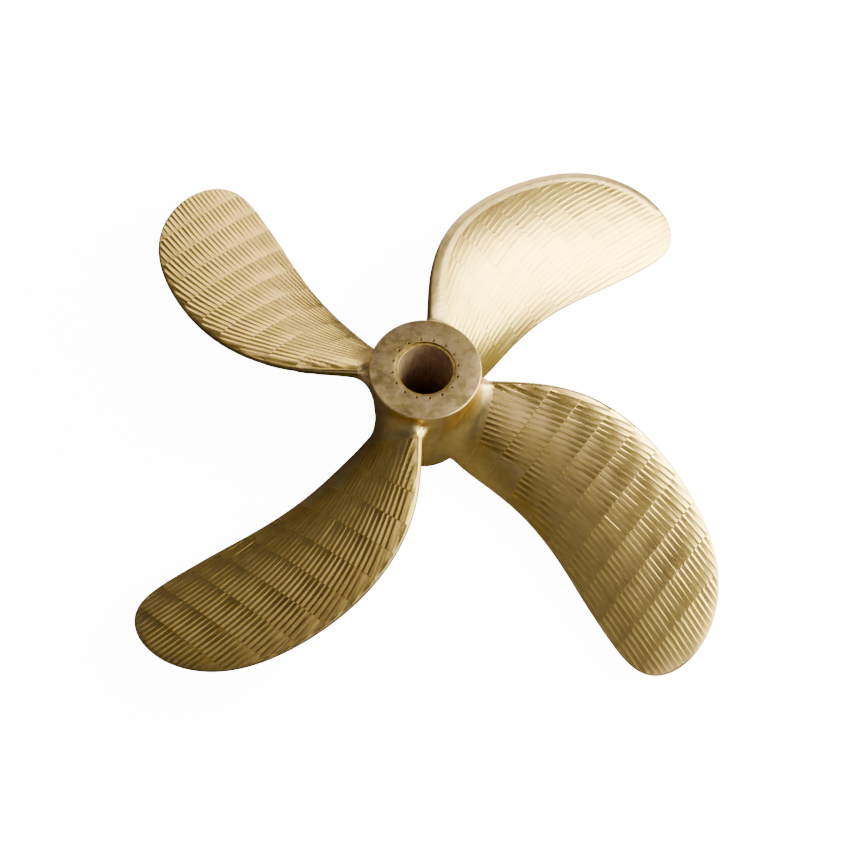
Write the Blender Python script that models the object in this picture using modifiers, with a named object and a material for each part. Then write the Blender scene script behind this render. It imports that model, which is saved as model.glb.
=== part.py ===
"""Ship propeller of the fixed-pitch kind: a hub and four blades in nickel-aluminium bronze.

Metres, +Z up. The propeller lies on the aft face of its hub. The origin is the centre of that
face, the shaft axis is Z and +Z points forward. It is right-handed: seen from the front, each
blade's nose is its counter-clockwise edge.
"""
import math

import bmesh
import bpy
import numpy as np

# Driving dimensions
DIAMETER = 3.2
BLADE_COUNT = 4
TIP_RADIUS = DIAMETER / 2
GAP = 0.0003            # clearance between touching solids

# Hub
HUB_LENGTH = 0.554
HUB_RADIUS_FORWARD = 0.242
HUB_RADIUS_MIDDLE = 0.224
HUB_RADIUS_AFT = 0.211
HUB_CHAMFER = 0.005
HUB_PROFILE_STEPS = 6
TURNED_SEGMENTS = 96

# Shaft bore, tapered 1 in 12 on the diameter, with a seal recess at its wide forward end
BORE_RADIUS_FORWARD = 0.1165
BORE_TAPER = 1 / 12
RECESS_RADIUS = 0.131
RECESS_DEPTH = 0.009
BORE_LIP = 0.006
BORE_CHAMFER_AFT = 0.004

# Tapped holes for the seal's flange
HOLE_COUNT = 16
HOLE_CIRCLE_RADIUS = 0.142
HOLE_RADIUS = 0.005
HOLE_DEPTH = 0.025
HOLE_PHASE = math.radians(10.5)
HOLE_SIDES = 12

# Blade, by stations from the hub to the tip. Angle is that of the mid-chord line about the
# shaft in degrees. Width is the chord before the tip's rounding, and pitch the advance in one
# turn, both over the tip radius.
BLADE_ROOT = 0.15
STATIONS = (0.15, 0.30, 0.50, 0.70, 0.90, 1.00)
ANGLES = (61.2, 65.7, 64.0, 57.5, 50.9, 47.4)
WIDTHS = (0.269, 0.366, 0.533, 0.737, 1.063, 1.348)
PITCHES = (1.448, 1.518, 1.588, 1.598, 1.638, 1.630)
# Height of the mid-chord line over the hub's aft face, which falls aft towards the tip
RAKE_STATIONS = (0.15, 0.45, 0.75, 1.00)
RAKE_HEIGHTS = (0.296, 0.303, 0.234, 0.171)

THICKNESS_ROOT = 0.120
THICKNESS_TIP = 0.013
CAMBER = 0.02           # height of the mean line over the chord
EDGE_RADIUS_ROOT = 0.007
EDGE_RADIUS_TIP = 0.0045
TAIL_POWER = 2.6        # how fast the section thins from its middle to the tail

# Fillet between blade and hub
FILLET_SIDES = 0.080
FILLET_EDGES = 0.010
FILLET_START = 0.12     # share of the fillet radius left as a step on the hub

# Fineness of the blade's mesh
SECTION_STEPS = 14
TAIL_FAN = 2
INNER_RADIUS = 0.190
FILLET_ROWS_END = 0.340
FILLET_ROWS = 12
OUTER_ROWS = 16
TIP_ROW = 0.9985

PART_COLLECTION = "ship_propeller"
CUTTER_COLLECTION = "cutters"
BRONZE = (0.60, 0.43, 0.19, 1.0)
TURNED_BRONZE = (0.36, 0.27, 0.16, 1.0)


def clear_scene():
    """Remove everything the scene holds."""
    for item in list(bpy.data.objects):
        bpy.data.objects.remove(item, do_unlink=True)


def make_collection(name, hidden=False):
    """A collection linked to the scene."""
    collection = bpy.data.collections.new(name)
    bpy.context.scene.collection.children.link(collection)
    collection.hide_render = hidden
    return collection


def make_material(name, colour, roughness):
    """A metal with one colour and roughness."""
    material = bpy.data.materials.new(name)
    material.use_nodes = True
    shader = material.node_tree.nodes["Principled BSDF"]
    shader.inputs["Base Color"].default_value = colour
    shader.inputs["Metallic"].default_value = 1.0
    shader.inputs["Roughness"].default_value = roughness
    material.diffuse_color = colour
    return material


def add_object(name, mesh, collection, material=None):
    """An object for a mesh, in a collection, with its material."""
    item = bpy.data.objects.new(name, mesh)
    collection.objects.link(item)
    if material:
        mesh.materials.append(material)
    return item


def mark_as_cutter(item):
    """Keep a cutting body out of renders."""
    item.hide_render = True
    item.display_type = "WIRE"


def natural_curve(places, values):
    """A natural cubic curve through the values, as a function."""
    places = np.array(places)
    values = np.array(values)
    last = len(places) - 1
    step = np.diff(places)
    rows = np.eye(last + 1)
    sides = np.zeros(last + 1)
    slope = np.diff(values) / step
    for i in range(1, last):
        rows[i, i - 1:i + 2] = step[i - 1], 2 * (step[i - 1] + step[i]), step[i]
        sides[i] = 6 * (slope[i] - slope[i - 1])
    bend = np.linalg.solve(rows, sides)

    def curve(place):
        i = int(np.clip(np.searchsorted(places, place) - 1, 0, last - 1))
        near = (places[i + 1] - place) / step[i]
        far = (place - places[i]) / step[i]
        bow = (near ** 3 - near) * bend[i] + (far ** 3 - far) * bend[i + 1]
        return near * values[i] + far * values[i + 1] + bow * step[i] ** 2 / 6

    return curve


angle_at = natural_curve(STATIONS, np.radians(ANGLES))
width_at = natural_curve(STATIONS, WIDTHS)
pitch_at = natural_curve(STATIONS, PITCHES)
height_at = natural_curve(RAKE_STATIONS, RAKE_HEIGHTS)


def hub_radius(height):
    """Radius of the hub's outside at a height, a shallow waist through three diameters."""
    t = np.clip(height / HUB_LENGTH, 0.0, 1.0)
    aft = HUB_RADIUS_AFT * (1 - t) * (1 - 2 * t)
    middle = HUB_RADIUS_MIDDLE * 4 * t * (1 - t)
    forward = HUB_RADIUS_FORWARD * t * (2 * t - 1)
    return aft + middle + forward


def hub_side(grown=0.0):
    """Points down the hub's outside, from the forward end to the aft end."""
    heights = np.linspace(HUB_LENGTH - HUB_CHAMFER, HUB_CHAMFER, HUB_PROFILE_STEPS + 1)
    return [(float(hub_radius(z)) + grown, float(z)) for z in heights]


def hub_outline():
    """The closed section of the hub: outside, aft face, bore and recess."""
    shoulder = HUB_LENGTH - RECESS_DEPTH
    bore_aft = BORE_RADIUS_FORWARD - shoulder * BORE_TAPER / 2
    top = [(HUB_RADIUS_FORWARD - HUB_CHAMFER, HUB_LENGTH)]
    aft = [
        (HUB_RADIUS_AFT - HUB_CHAMFER, 0.0),
        (bore_aft + BORE_CHAMFER_AFT, 0.0),
        (bore_aft, BORE_CHAMFER_AFT),
    ]
    inside = [
        (BORE_RADIUS_FORWARD, shoulder - BORE_LIP),
        (BORE_RADIUS_FORWARD + BORE_LIP, shoulder),
        (RECESS_RADIUS, shoulder),
        (RECESS_RADIUS, HUB_LENGTH),
    ]
    return top + hub_side() + aft + inside


def turn(name, outline, collection, material=None, closed=True):
    """A body turned about Z from a section in the XZ plane."""
    mesh = bpy.data.meshes.new(name)
    count = len(outline)
    edges = [(i, i + 1) for i in range(count - 1)]
    if closed:
        edges.append((count - 1, 0))
    mesh.from_pydata([(x, 0.0, z) for x, z in outline], edges, [])
    item = add_object(name, mesh, collection, material)
    screw = item.modifiers.new("turn", "SCREW")
    screw.axis = "Z"
    screw.angle = math.tau
    screw.steps = TURNED_SEGMENTS
    screw.render_steps = TURNED_SEGMENTS
    screw.use_merge_vertices = True
    screw.merge_threshold = 0.00001
    return item


def cut(item, cutter):
    """Take a cutter away from an object."""
    boolean = item.modifiers.new("cut_" + cutter.name, "BOOLEAN")
    boolean.operation = "DIFFERENCE"
    boolean.object = cutter
    boolean.solver = "EXACT"


def make_hole_cutter(collection):
    """One cutter for the ring of tapped holes in the forward face."""
    mesh = bpy.data.meshes.new("tapped_holes")
    body = bmesh.new()
    overshoot = 0.005
    for index in range(HOLE_COUNT):
        angle = HOLE_PHASE + index * math.tau / HOLE_COUNT
        made = bmesh.ops.create_cone(
            body, cap_ends=True, segments=HOLE_SIDES, radius1=HOLE_RADIUS,
            radius2=HOLE_RADIUS, depth=HOLE_DEPTH + overshoot)
        centre = (
            HOLE_CIRCLE_RADIUS * math.cos(angle),
            HOLE_CIRCLE_RADIUS * math.sin(angle),
            HUB_LENGTH + (overshoot - HOLE_DEPTH) / 2,
        )
        bmesh.ops.translate(body, verts=made["verts"], vec=centre)
    body.to_mesh(mesh)
    body.free()
    cutter = add_object("tapped_holes", mesh, collection)
    mark_as_cutter(cutter)
    return cutter


def make_hub(collection, cutters, material):
    """The hub, with its tapered bore, recess and tapped holes."""
    hub = turn("hub", hub_outline(), collection, material)
    cut(hub, make_hole_cutter(cutters))
    return hub


def make_root_cutter(collection):
    """The hub's outside as a solid, grown by the gap, which trims the blades' roots."""
    side = hub_side(GAP)
    reach = 0.1
    outline = [(0.0, HUB_LENGTH + reach), (side[0][0], HUB_LENGTH + reach)]
    outline += side + [(side[-1][0], -reach), (0.0, -reach)]
    cutter = turn("hub_outside", outline, collection, closed=False)
    mark_as_cutter(cutter)
    return cutter


def unit_rows(rows):
    """Rows scaled to length 1."""
    return rows / np.linalg.norm(rows, axis=1)[:, None]


def side_normals(points, outward):
    """Normals along one side of a section, on the side that outward gives."""
    along = np.gradient(points, axis=0)
    return unit_rows(np.stack([-along[:, 1], along[:, 0]], axis=1) * outward)


def section(chord, thickness, camber, edge):
    """A blade section as points and outward normals, from the tail over the back to the nose.

    The first coordinate runs along the chord towards the nose, the second towards the back.
    The nose is an ellipse and the tail a wedge, and both are rounded by the edge radius when
    the caller moves the points out along their normals.
    """
    beta = np.linspace(0.0, math.pi, SECTION_STEPS + 1)
    place = np.cos(beta)
    nose = np.sqrt(np.clip(1 - place ** 2, 0.0, 1.0))
    tail = 1 - np.abs(place) ** TAIL_POWER
    half = (thickness / 2 - edge) * np.where(place < 0, nose, tail)
    mean = camber * (1 - place ** 2)
    along = -(chord / 2 - edge) * place
    back = np.stack([along, mean + half], axis=1)
    face = np.stack([along, mean - half], axis=1)[::-1]
    back_normals = side_normals(back, 1.0)
    face_normals = side_normals(face, 1.0)
    back_normals[-1] = (1.0, 0.0)
    start = math.atan2(face_normals[-1, 1], face_normals[-1, 0])
    end = math.atan2(back_normals[0, 1], back_normals[0, 0])
    if end > start:
        end -= math.tau
    turns = np.linspace(start, end, TAIL_FAN + 2)[1:-1]
    fan = np.stack([np.cos(turns), np.sin(turns)], axis=1)
    points = np.concatenate([back, face[1:], np.repeat(back[:1], TAIL_FAN, axis=0)])
    normals = np.concatenate([back_normals, face_normals[1:], fan])
    return points, normals


def fillet(points, normals, radius, height, lean):
    """How far each section point moves out to meet the hub in a fillet."""
    heights = height + points[:, 0] * math.sin(lean) + points[:, 1] * math.cos(lean)
    size = FILLET_EDGES + (FILLET_SIDES - FILLET_EDGES) * np.abs(normals[:, 1])
    share = (radius - hub_radius(heights)) / size
    share = np.clip(share, FILLET_START, 1.0)
    return size * (1 - np.sqrt(1 - (1 - share) ** 2))


def blade_row(radius):
    """One ring of points around the blade at a radius, on a helix of the local pitch."""
    station = radius / TIP_RADIUS
    span = np.clip((station - BLADE_ROOT) / (1 - BLADE_ROOT), 0.0, 1.0)
    lean = math.atan(pitch_at(station) / (math.tau * station))
    height = height_at(station)
    chord = width_at(station) * TIP_RADIUS * math.sqrt(1 - span)
    edge = EDGE_RADIUS_ROOT + (EDGE_RADIUS_TIP - EDGE_RADIUS_ROOT) * span
    thickness = THICKNESS_ROOT + (THICKNESS_TIP - THICKNESS_ROOT) * span
    points, normals = section(chord, thickness, CAMBER * chord, edge)
    points = points + normals * (edge + fillet(points, normals, radius, height, lean))[:, None]
    around = points[:, 0] * math.cos(lean) - points[:, 1] * math.sin(lean)
    angles = angle_at(station) + around / radius
    heights = height + points[:, 0] * math.sin(lean) + points[:, 1] * math.cos(lean)
    return np.stack([radius * np.cos(angles), radius * np.sin(angles), heights], axis=1)


def blade_radii():
    """Radii of the blade's rows, close together at the fillet and at the tip."""
    inner = np.linspace(INNER_RADIUS, FILLET_ROWS_END, FILLET_ROWS)
    steps = np.arange(1, OUTER_ROWS + 1) / OUTER_ROWS
    outer = FILLET_ROWS_END + (TIP_ROW * TIP_RADIUS - FILLET_ROWS_END) * np.sin(steps * math.pi / 2)
    return np.concatenate([inner, outer])


def blade_tip():
    """The blade's outermost point."""
    angle = angle_at(1.0)
    return np.array([[TIP_RADIUS * math.cos(angle), TIP_RADIUS * math.sin(angle), height_at(1.0)]])


def make_blade_mesh():
    """A blade as a loft through its rows, closed inside the hub and drawn to a point."""
    rows = [blade_row(radius) for radius in blade_radii()]
    size = len(rows[0])
    verts = np.concatenate(rows + [blade_tip()])
    faces = [list(range(size))]
    for row in range(len(rows) - 1):
        low = row * size
        high = low + size
        for i in range(size):
            j = (i + 1) % size
            faces.append((low + j, low + i, high + i, high + j))
    last = (len(rows) - 1) * size
    tip = len(verts) - 1
    for i in range(size):
        faces.append((last + (i + 1) % size, last + i, tip))
    mesh = bpy.data.meshes.new("blade")
    mesh.from_pydata(verts.tolist(), [], faces)
    body = bmesh.new()
    body.from_mesh(mesh)
    bmesh.ops.recalc_face_normals(body, faces=body.faces)
    body.to_mesh(mesh)
    body.free()
    return mesh


def make_blades(collection, cutters, material):
    """The blades, evenly spaced about the shaft and trimmed to the hub."""
    root_cutter = make_root_cutter(cutters)
    mesh = make_blade_mesh()
    mesh.materials.append(material)
    for index in range(BLADE_COUNT):
        blade = add_object(f"blade_{index + 1}", mesh, collection)
        blade.rotation_euler = (0.0, 0.0, index * math.tau / BLADE_COUNT)
        cut(blade, root_cutter)


def main():
    clear_scene()
    part = make_collection(PART_COLLECTION)
    cutters = make_collection(CUTTER_COLLECTION, hidden=True)
    make_hub(part, cutters, make_material("turned_bronze", TURNED_BRONZE, 0.5))
    make_blades(part, cutters, make_material("milled_bronze", BRONZE, 0.35))


main()
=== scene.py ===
"""Looks of the ship propeller: milled bronze blades on a turned hub, on a pale floor.

Metres, +Z up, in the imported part's frame: the shaft axis is Z, the hub stands on its aft face at
height 0 and the forward face is on top.
"""
import math
import bpy
import numpy as np
from mathutils import Matrix, Vector
from mathutils.geometry import delaunay_2d_cdt


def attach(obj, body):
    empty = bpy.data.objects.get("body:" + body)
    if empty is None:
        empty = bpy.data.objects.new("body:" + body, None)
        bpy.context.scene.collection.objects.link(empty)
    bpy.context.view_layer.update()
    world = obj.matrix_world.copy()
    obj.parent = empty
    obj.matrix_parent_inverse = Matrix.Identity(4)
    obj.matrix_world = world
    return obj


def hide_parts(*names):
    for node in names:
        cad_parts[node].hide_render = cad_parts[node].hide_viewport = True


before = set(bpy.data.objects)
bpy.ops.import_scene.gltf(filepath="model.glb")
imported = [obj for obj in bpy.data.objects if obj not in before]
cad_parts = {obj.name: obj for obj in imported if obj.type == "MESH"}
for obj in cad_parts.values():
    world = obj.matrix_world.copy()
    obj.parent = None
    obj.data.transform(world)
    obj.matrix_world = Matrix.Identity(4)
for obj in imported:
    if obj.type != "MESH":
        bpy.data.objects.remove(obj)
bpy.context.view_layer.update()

MM = 0.001

# Overall form, as in the part
TIP_RADIUS = 1.6
BLADE_COUNT = 4
HUB_LENGTH = 0.554
HUB_RADIUS_FORWARD = 0.242
HUB_RADIUS_MIDDLE = 0.224
HUB_RADIUS_AFT = 0.211
BORE_RADIUS_FORWARD = 0.1165
BORE_TAPER = 1 / 12
RECESS_RADIUS = 0.131
RECESS_DEPTH = 0.009
BORE_LIP = 0.0025
BORE_CHAMFER_AFT = 0.004
HOLE_COUNT = 16
HOLE_CIRCLE_RADIUS = 0.142
HOLE_RADIUS = 0.005
HOLE_DEPTH = 0.025
HOLE_PHASE = math.radians(10.5)

# Blade by stations, as in the part: angle of the mid-chord line in degrees, and chord width and
# pitch over the tip radius
BLADE_ROOT = 0.15
STATIONS = (0.15, 0.30, 0.50, 0.70, 0.90, 1.00)
ANGLES = (61.2, 65.7, 64.0, 57.5, 50.9, 47.4)
WIDTHS = (0.269, 0.366, 0.533, 0.737, 1.063, 1.348)
PITCHES = (1.448, 1.518, 1.588, 1.598, 1.638, 1.630)
RAKE_STATIONS = (0.15, 0.45, 0.75, 1.00)
RAKE_HEIGHTS = (0.296, 0.303, 0.234, 0.171)
THICKNESS_ROOT = 0.120
THICKNESS_TIP = 0.013
CAMBER = 0.02
EDGE_RADIUS_ROOT = 0.007
EDGE_RADIUS_TIP = 0.0045
TAIL_POWER = 2.6
FILLET_SIDES = 0.080
FILLET_EDGES = 0.010
TIP_ROUNDING = 7 * MM

# Milling: bands across the blade, each cut in strips that run towards the tip. The bands follow
# each other along MILL_ANGLE. Places in plan are (across, along) that direction, across being
# positive towards the nose.
MILL_ANGLE = math.radians(57)
BAND_HEIGHT = 0.1275
BAND_COUNT = 10
FIRST_BAND_LOW = 0.20
STRIP_PITCH = 25.5 * MM
STEP_WIDTH = 1.6 * MM
# The strips' lean and fan, each at the shaft and its change for each metre outwards
STRIP_LEAN = (0.28, -0.44)
STRIP_FAN = (1.5, -1.0)
STRIP_BEND = 0.22
SCALLOP_DEPTH = 0.25 * MM
FLANK_SHARE = 0.50
FLANK_BLUR = 0.12
BAND_TILT = math.radians(0.25)
SMOOTH_SHARE = 0.10
NOSE_RISE = math.radians(8)
NOSE_RISE_WIDTH = 22 * MM
NOSE_BEVEL = math.radians(9)
MILL_START_RADIUS = 0.333
MILL_START_FALL = 0.25
MILL_START_STEP = 2.0 * MM
MILL_CUT = 0.5 * MM
HUB_OVERLAP = 0.3 * MM
ROOT_END_RADIUS = 0.19
# Chance differences between strips, and how many strips a band has room for on either side
SEED = 40
STRIPS_PER_SIDE = 40
LEVEL_SPREAD = 0.10 * MM
TILT_SPREAD = math.radians(0.45)
TURN_SPREAD = 0.12
# Along the rim: lines at these distances, and where the relief and the dull edge, darkened partly
# as painted shade, fade
RIMS = (0.6 * MM, 2.0 * MM, 4.0 * MM, 7.0 * MM, 12.0 * MM)
RIM_FADE = (3 * MM, 12 * MM)
RIM_DULL_AND_SHADE = (1 * MM, 6 * MM)
# Fineness of the blades' meshes: strips are laid out between these two sides, and their points
# are kept this far beyond the outline
STRIP_LINES = 5
BAND_ROWS = 11
ROOT_ROWS = 20
EDGE_POINTS = 170
START_POINTS = 110
NOSE_POINTS = 40
LATTICE_SIDES = (-0.6, 0.55)
LATTICE_MARGIN = 12 * MM
START_SLACK = 0.01
# How closely the blades' curves are solved
FIND_STEPS = 40
START_STEPS = 20
ROOT_STEPS = 8
LEAST_RADIUS = 0.2
FILLET_LEAST = 0.004
EDGE_FILLET_LEAST = 0.12
ON_LINE = 1e-6
# One blade after the other: where the first band ends, the bands' slope, and how far from the
# tail the lowest bands are left smooth
BAND_STARTS = (0.438, 0.446, 0.451, 0.443)
BAND_SLOPES = (0.040, 0.095, 0.040, 0.070)
SMOOTH_TAILS = ((), (-0.02, -0.04, -0.13), (0.0, 0.0, -0.08), (0.0, 0.0, -0.12))
# How far the cutter leaned at the inner and the outer end of the bands: above 0 it leaves flanks
# that face the nose, below 0 flanks that face the tail
CUTTER_LEANS = ((-0.36, 0.0), (0.0, 1.3), (0.1, 1.3), (0.9, -0.35))
FLANK_ANGLES = (16, 19, 17, 14)
# How much more it leaned towards the nose, for each metre across the blade
CUTTER_SWAYS = (0.5, 0.5, 0.5, -1.3)
# How wide a strip along the nose was ground after the milling
NOSE_STRIPS = (50 * MM, 0.0, 0.0, 0.0)

# Hub, finer than the part
HUB_CHAMFER = 5 * MM
HUB_SEGMENTS = 256
HUB_ROWS = 44
BORE_ROWS = 26
EDGE_BREAK = 0.7 * MM
GRIND_WAVE = 0.25 * MM
# Each grinding wave: how often round the hub, radians for each metre up, phase and size
GRIND_WAVES = ((5, 21, 0.0, 1.0), (11, -34, 1.3, 0.7), (23, 55, 0.4, 0.5))
GRIND_FADE_AFT = (0.01, 0.06)
GRIND_FADE_FORWARD = (0.012, 0.05)
HOLE_SEGMENTS = 24
COUNTERSINK = 1.0 * MM
THREAD_PITCH = 1.5 * MM
THREAD_DEPTH = 0.5 * MM
THREAD_RUNOUT = 4 * MM
HOLE_FLOOR_EDGE = 2.5 * MM
SHARP_ANGLE = math.radians(25)
# The hub's surfaces, in the order of its materials
FACE, SIDE, BORE, RECESS, THREAD = range(5)

# Materials: the dull, darker bronze along the blades' rims (its darkness partly painted shade for
# the dark reflections along the edges), and what the metal shaders start from
RIM_DULL_AND_SHADE_COLOUR = (0.36, 0.27, 0.15)
RIM_DULL_AND_SHADE_SHARE = 0.8
METAL_SETTINGS = {"Metallic": 1.0}
BORE_SETTINGS = {"Metallic": 0.2, "Specular IOR Level": 0.12}

# Studio: each panel's azimuth (0 is -Y, 90 is +X), elevation, size, radiance and colour
PANEL_DISTANCE = 6.5
PANEL_CENTRE = (0.0, 0.0, 0.3)
KEY_YELLOW = (0.96, 1.04, 0.80)
YELLOW = (0.96, 1.0, 0.84)
CREAM = (1.0, 0.98, 0.88)
WHITE = (0.98, 0.98, 1.15)
ROSE = (1.0, 0.94, 0.98)
PANELS = {
    "key": (104, 32, (4.8, 7.4), 4.1, KEY_YELLOW),
    "right": (62, 31, (3.8, 5.0), 2.2, YELLOW),
    "high": (117, 54, (3.2, 2.6), 2.55, CREAM),
    "rear": (148, 44, (1.8, 2.6), 0.5, ROSE),
    "back": (180, 6, (6.6, 5.0), 1.45, CREAM),
    "crown": (205, 66, (2.8, 2.2), 0.68, CREAM),
    "front": (16, 53, (4.4, 2.6), 0.70, WHITE),
    "window": (0, 32, (3.6, 3.0), 0.31, CREAM),
    "top": (242, 64, (3.5, 3.1), 0.64, CREAM),
    "left": (245, 12, (5.0, 3.6), 0.11, WHITE),
    "side": (318, 38, (4.6, 4.0), 0.155, WHITE),
    "low": (300, 7, (3.6, 2.2), 0.22, YELLOW),
}
WORLD_STRENGTH = 0.05
SEEN_STRENGTH = 4.2
FLOOR_CORNERS = ((-20, -20, 0), (20, -20, 0), (20, 20, 0), (-20, 20, 0))
PURE_WHITE = (1.0, 1.0, 1.0, 1.0)
FLOOR_MIRRORED = (0.33, 0.32, 0.30, 1.0)
FLOOR_SETTINGS = {
    "Metallic": 0.0,
    "Base Color": (0.8, 0.8, 0.8, 1.0),
    "Roughness": 1.0,
    "Specular IOR Level": 0.0,
    "Emission Color": PURE_WHITE,
    "Emission Strength": 3.8,
}

# Camera, from the photograph: distance from the centre of the forward face, and angles
CAMERA_DISTANCE = 5.824
CAMERA_TILT = math.radians(28.33)
CAMERA_ROLL = math.radians(3.35)
CAMERA_PAN = math.radians(0.14)
CAMERA_PITCH = math.radians(-2.24)
CAMERA_LENS = 58.3
CAMERA_SENSOR = 36


def natural_curve(places, values):
    """A natural cubic curve through the values, as a function of arrays."""
    places, values = np.array(places), np.array(values)
    last = len(places) - 1
    step = np.diff(places)
    rows = np.eye(last + 1)
    sides = np.zeros(last + 1)
    slope = np.diff(values) / step
    for i in range(1, last):
        rows[i, i - 1:i + 2] = step[i - 1], 2 * (step[i - 1] + step[i]), step[i]
        sides[i] = 6 * (slope[i] - slope[i - 1])
    bend = np.linalg.solve(rows, sides)

    def curve(place):
        i = np.clip(np.searchsorted(places, place) - 1, 0, last - 1)
        near = (places[i + 1] - place) / step[i]
        far = (place - places[i]) / step[i]
        bow = (near ** 3 - near) * bend[i] + (far ** 3 - far) * bend[i + 1]
        return near * values[i] + far * values[i + 1] + bow * step[i] ** 2 / 6

    return curve


angle_at = natural_curve(STATIONS, np.radians(ANGLES))
width_at = natural_curve(STATIONS, WIDTHS)
pitch_at = natural_curve(STATIONS, PITCHES)
height_at = natural_curve(RAKE_STATIONS, RAKE_HEIGHTS)


def unit(value):
    """A value kept between 0 and 1."""
    return np.clip(value, 0.0, 1.0)


def smoothstep(value, low, high):
    """0 below low, 1 above high, smooth between."""
    t = unit((value - low) / (high - low))
    return t * t * (3 - 2 * t)


def hub_radius(height):
    """Radius of the hub's outside at a height, a shallow waist through three diameters."""
    t = unit(height / HUB_LENGTH)
    aft = HUB_RADIUS_AFT * (1 - t) * (1 - 2 * t)
    middle = HUB_RADIUS_MIDDLE * 4 * t * (1 - t)
    forward = HUB_RADIUS_FORWARD * t * (2 * t - 1)
    return aft + middle + forward


class Section:
    """The blade's section at each of an array of radii, on a helix of the local pitch."""

    def __init__(self, radius):
        station = unit(radius / TIP_RADIUS)
        span = unit((station - BLADE_ROOT) / (1 - BLADE_ROOT))
        chord = width_at(station) * TIP_RADIUS * np.sqrt(1 - span)
        edge = EDGE_RADIUS_ROOT + (EDGE_RADIUS_TIP - EDGE_RADIUS_ROOT) * span
        thickness = THICKNESS_ROOT + (THICKNESS_TIP - THICKNESS_ROOT) * span
        self.radius = radius
        self.lean = np.arctan(pitch_at(station) / (math.tau * station))
        self.height = height_at(station)
        self.angle = angle_at(station)
        self.edge = np.minimum(edge, chord / 2)
        self.half_chord = chord / 2 - self.edge
        self.half_thickness = thickness / 2 - edge
        self.camber = CAMBER * chord
        inset = unit((TIP_RADIUS - radius) / TIP_ROUNDING)
        self.flatness = np.sqrt(1 - (1 - inset) ** 2)

    def outline(self, t, side):
        """Points and outward normals in the section's plane.

        t runs from -1 at the very tail, over 0 where the tail's rounding ends, to 1 at the nose.
        side is 1 for the back and -1 for the face.
        """
        beta = np.pi * unit(t)
        place = np.cos(beta)
        rise = np.sin(beta)
        tail = place > 0
        power = unit(place) ** (TAIL_POWER - 1)
        half = self.half_thickness * np.where(tail, 1 - power * place, rise)
        points = np.stack([-self.half_chord * place, self.camber * rise ** 2 + side * half], -1)
        bend = 2 * self.camber * place
        run = np.where(tail, self.half_chord, self.half_chord * rise)
        climb = np.where(
            tail,
            bend + side * self.half_thickness * TAIL_POWER * power,
            bend * rise + side * self.half_thickness * place)
        normal_angle = np.arctan2(side * run, -side * climb)
        around_tail = unit(-t)
        normal_angle += (side * np.pi - normal_angle) * around_tail
        normals = np.stack([np.cos(normal_angle), np.sin(normal_angle)], -1)
        return points, normals

    def fillet(self, points, normals, least):
        """How far each point moves out to meet the hub in a fillet."""
        heights = self.height + points[..., 0] * np.sin(self.lean)
        heights += points[..., 1] * np.cos(self.lean)
        size = FILLET_EDGES + (FILLET_SIDES - FILLET_EDGES) * np.abs(normals[..., 1])
        share = np.clip((self.radius - hub_radius(heights)) / size, least, 1.0)
        return size * (1 - np.sqrt(1 - (1 - share) ** 2))

    def place(self, t, side, least=EDGE_FILLET_LEAST, lift=0.0):
        """Places along and across the chord, after the rounding, the fillet and the tip."""
        points, normals = self.outline(t, side)
        out = self.edge + self.fillet(points, normals, least) + lift
        mean = self.camber * np.sin(np.pi * unit(t)) ** 2
        along = points[..., 0] + normals[..., 0] * out
        across = points[..., 1] + normals[..., 1] * out
        return along, mean + (across - mean) * self.flatness

    def to_space(self, along, across):
        """Points in space for places along and across the chord."""
        around = along * np.cos(self.lean) - across * np.sin(self.lean)
        angle = self.angle + around / self.radius
        height = self.height + along * np.sin(self.lean) + across * np.cos(self.lean)
        return np.stack([self.radius * np.cos(angle), self.radius * np.sin(angle), height], -1)

    def find(self, along, side):
        """The t at which the outline has a given place along the chord."""
        low = np.full_like(along, -1.0)
        high = np.ones_like(along)
        for _ in range(FIND_STEPS):
            middle = (low + high) / 2
            reached = self.place(middle, side)[0] < along
            low = np.where(reached, middle, low)
            high = np.where(reached, high, middle)
        return (low + high) / 2


def to_plan(section, along):
    """Places in plan for places along the chord."""
    angle = section.angle + along * np.cos(section.lean) / section.radius - MILL_ANGLE
    return np.stack([section.radius * np.sin(angle), section.radius * np.cos(angle)], -1)


def from_plan(plan):
    """Sections and places along the chord for places in plan."""
    radius = np.clip(np.hypot(plan[:, 0], plan[:, 1]), LEAST_RADIUS, TIP_RADIUS)
    section = Section(radius)
    angle = MILL_ANGLE + np.arctan2(plan[:, 0], plan[:, 1])
    return section, (angle - section.angle) * radius / np.cos(section.lean)


def edge_place(t, radius):
    """Places in plan on the edge of the tail (t = -1) or the nose (t = 1), at these radii."""
    section = Section(radius)
    return to_plan(section, section.place(np.full(len(radius), t), 1)[0])


def edge_curve(t, count):
    """The tail's or nose's outline in plan, from the milling's start outwards."""
    steps = np.linspace(0.0, 1.0, count)
    low = start_radius_on_edge(t)
    return edge_place(t, TIP_RADIUS - (TIP_RADIUS - low) * (1 - steps) ** 2)


def start_radius(across):
    """Radius at which the milling starts, smaller towards the nose."""
    return MILL_START_RADIUS - MILL_START_FALL * np.maximum(across, 0)


def start_radius_on_edge(t):
    """Radius at which the milling's start meets the tail's or nose's edge."""
    radius = MILL_START_RADIUS
    for _ in range(START_STEPS):
        radius = start_radius(edge_place(t, np.array([radius]))[0, 0])
    return radius


def start_curve(beyond=0.0):
    """The line at which the milling starts, from the tail to the nose."""
    ends = [math.atan2(*edge_place(t, np.array([start_radius_on_edge(t)]))[0])
            for t in (-1, 1)]
    slack = START_SLACK if beyond else 0.0
    angle = np.linspace(ends[0] - slack, ends[1] + slack, START_POINTS)
    radius = np.full(START_POINTS, MILL_START_RADIUS)
    for _ in range(START_STEPS):
        radius = start_radius(radius * np.sin(angle))
    radius += beyond
    return np.stack([radius * np.sin(angle), radius * np.cos(angle)], -1)


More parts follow.
